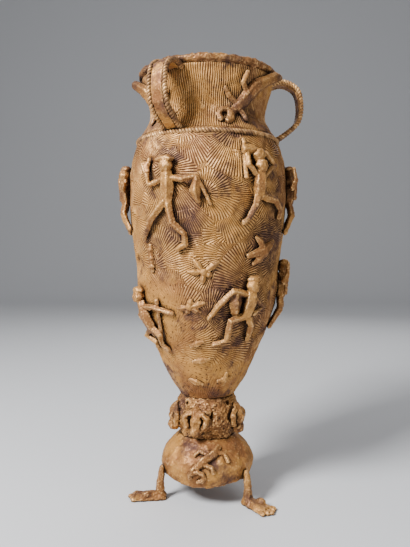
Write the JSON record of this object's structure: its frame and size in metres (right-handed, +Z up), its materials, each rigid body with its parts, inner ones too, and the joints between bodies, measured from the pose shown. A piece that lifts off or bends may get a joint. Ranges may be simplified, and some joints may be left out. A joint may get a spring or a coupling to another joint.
{
  "type": "bronze vase",
  "caption": "Tall hollow cast bronze vase with rope-edged loop handles, relief figures on the wall, a narrow stem, a bell foot and human feet.",
  "frame": {"origin": "middle of the object's box, on the surface that the feet stand on", "axes": "+Z up along the vase's axis, -Y towards the pictured front"},
  "size_m": [0.2194, 0.204, 0.5],
  "materials": {
    "wall_bronze": "rough brown cast bronze with wax-thread grooves",
    "rope_bronze": "worn golden brown cast bronze",
    "figure_bronze": "rubbed ochre bronze",
    "dark_bronze": "dark pitted bronze"
  },
  "bodies": {
    "root": {"vessel_body": "wall_bronze", "vessel_neck": "wall_bronze", "rim_lip": "rope_bronze", "shoulder_rope": "rope_bronze", "handle_front_strap": "wall_bronze", "handle_front_rope_left": "rope_bronze", "handle_front_rope_right": "rope_bronze", "handle_right_strap": "wall_bronze", "handle_right_rope_left": "rope_bronze", "handle_right_rope_right": "rope_bronze", "handle_back_strap": "wall_bronze", "handle_back_rope_left": "rope_bronze", "handle_back_rope_right": "rope_bronze", "crocodile_right": "rope_bronze", "crocodile_left": "rope_bronze", "hunter_striding": "figure_bronze", "bearer_with_staff": "figure_bronze", "spearman_right": "figure_bronze", "spearman_left": "figure_bronze", "bearer_back": "figure_bronze", "hunter_back": "figure_bronze", "runner_front": "figure_bronze", "kneeler_left": "figure_bronze", "runner_right": "figure_bronze", "runner_back": "figure_bronze", "kneeler_back": "figure_bronze", "star_flower_upper": "figure_bronze", "star_flower_lower": "figure_bronze", "star_flower_back": "figure_bronze", "bird": "figure_bronze", "leaf_upper": "figure_bronze", "leaf_middle": "figure_bronze", "leaf_lower": "figure_bronze", "cross_flower": "figure_bronze", "plant_strip": "figure_bronze", "stem": "dark_bronze", "supporter_left": "dark_bronze", "supporter_front": "dark_bronze", "supporter_right": "dark_bronze", "supporter_back": "dark_bronze", "bell_foot": "wall_bronze", "lizard": "figure_bronze", "leg_left": "figure_bronze", "leg_right": "figure_bronze", "leg_back": "figure_bronze"}
  },
  "joints": []
}
